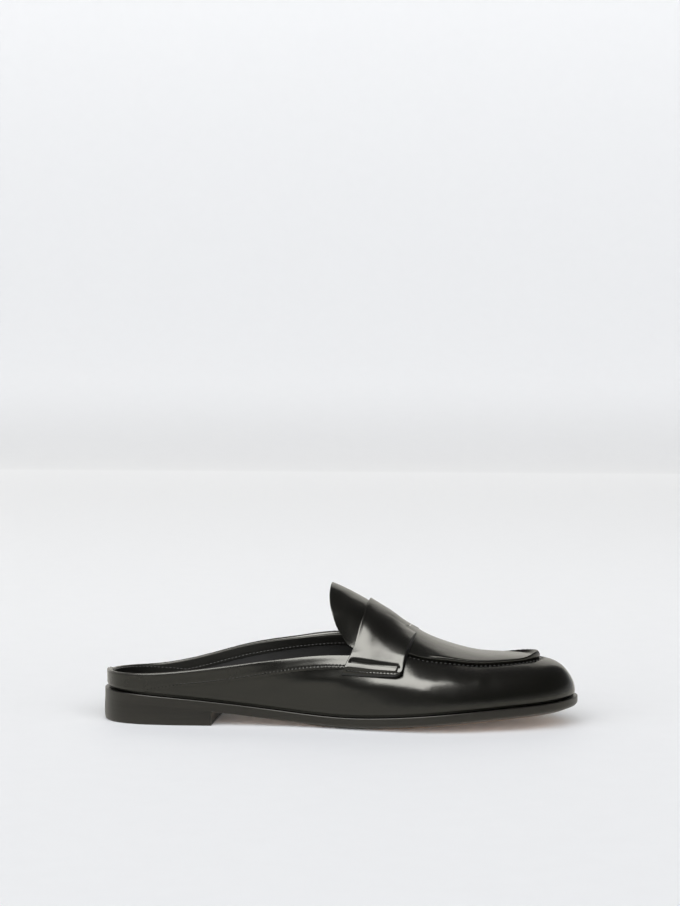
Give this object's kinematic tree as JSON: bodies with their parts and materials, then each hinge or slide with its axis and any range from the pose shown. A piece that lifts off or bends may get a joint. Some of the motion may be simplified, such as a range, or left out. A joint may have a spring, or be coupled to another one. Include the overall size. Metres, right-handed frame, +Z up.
{
  "type": "loafer mule",
  "caption": "Backless black leather loafer with a low heel, a raised apron seam, a saddle strap with a cut-out and a standing tongue.",
  "frame": {"origin": "bottom centre of the bounding box, on the floor the shoe stands on", "axes": "+X from heel to toe, +Y to the wearer's left (the medial side of this right shoe), +Z up"},
  "size_m": [0.2662, 0.0916, 0.0774],
  "materials": {
    "sole_edge": "black edge dressing, satin",
    "heel_block": "black edge dressing, satin",
    "sock": "matt lining leather",
    "upper_leather": "polished box leather",
    "band_leather": "polished box leather",
    "apron_leather": "polished box leather",
    "strap_leather": "polished box leather"
  },
  "bodies": {
    "root": {"outsole": "sole_edge", "heel": "heel_block", "insole": "sock", "upper": "upper_leather", "collar_band": "band_leather", "apron": "apron_leather", "saddle_strap": "strap_leather"}
  },
  "joints": []
}
